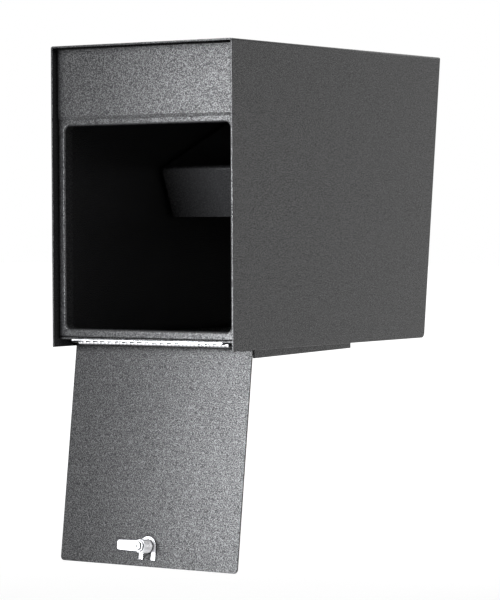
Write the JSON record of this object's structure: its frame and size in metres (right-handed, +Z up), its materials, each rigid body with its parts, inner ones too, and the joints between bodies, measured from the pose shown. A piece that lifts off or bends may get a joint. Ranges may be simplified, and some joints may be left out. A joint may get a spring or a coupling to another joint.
{
  "type": "drop box",
  "caption": "Steel locking drop box with a hinged access door, a cam lock and a tilting deposit hopper that drops what is put in into the box.",
  "frame": {"origin": "centre of the four mounting holes, on the underside of the base saddle", "axes": "+X across the box, +Y from the access side to the deposit side, +Z up"},
  "size_m": [0.305, 0.5896, 0.7196],
  "materials": {
    "black_powder_coat": "fine textured black powder coat on sheet steel",
    "zinc_plate": "bright zinc plate",
    "rubber": "matt black rubber"
  },
  "bodies": {
    "box": {"outer_shell": "black_powder_coat", "header_panel": "black_powder_coat", "opening_frame": "black_powder_coat", "floor_pan": "black_powder_coat", "end_panel": "black_powder_coat", "door_stop": "black_powder_coat", "base_saddle": "black_powder_coat", "saddle_rivets": "zinc_plate", "hinge_fixed_leaf": "zinc_plate", "hinge_rivets_fixed": "zinc_plate", "hinge_pin": "zinc_plate", "pivot_rod": "zinc_plate", "pivot_bosses": "zinc_plate", "tray_bumpers": "rubber"},
    "access_door": {"access_door": "black_powder_coat", "hinge_moving_leaf": "zinc_plate", "hinge_rivets_moving": "zinc_plate", "lock_barrel": "zinc_plate", "lock_clip": "zinc_plate"},
    "lock_cam": {"lock_plug": "zinc_plate", "lock_cam": "zinc_plate", "lock_cam_screw": "zinc_plate"},
    "hopper": {"deposit_door": "black_powder_coat", "deposit_handle": "black_powder_coat", "handle_screws": "zinc_plate", "tray_floor": "black_powder_coat", "tray_cheek_left": "black_powder_coat", "tray_cheek_right": "black_powder_coat", "tray_rear_plate": "black_powder_coat"}
  },
  "joints": [
    {"name": "access_door_swing", "type": "hinge", "parent": "box", "child": "access_door", "pos_m": [0, -0.1945, -0.0011], "axis": [-1, 0, 0], "range_deg": [-3, 172.4]},
    {"name": "lock_turn", "type": "hinge", "parent": "access_door", "child": "lock_cam", "pos_m": [0, -0.21227, -0.2802], "axis": [0, -0.9912, 0.1323], "range_deg": [0, 90]},
    {"name": "hopper_tilt", "type": "hinge", "parent": "box", "child": "hopper", "pos_m": [0, 0.30351, 0.288], "axis": [-1, 0, 0], "range_deg": [0, 33]}
  ]
}
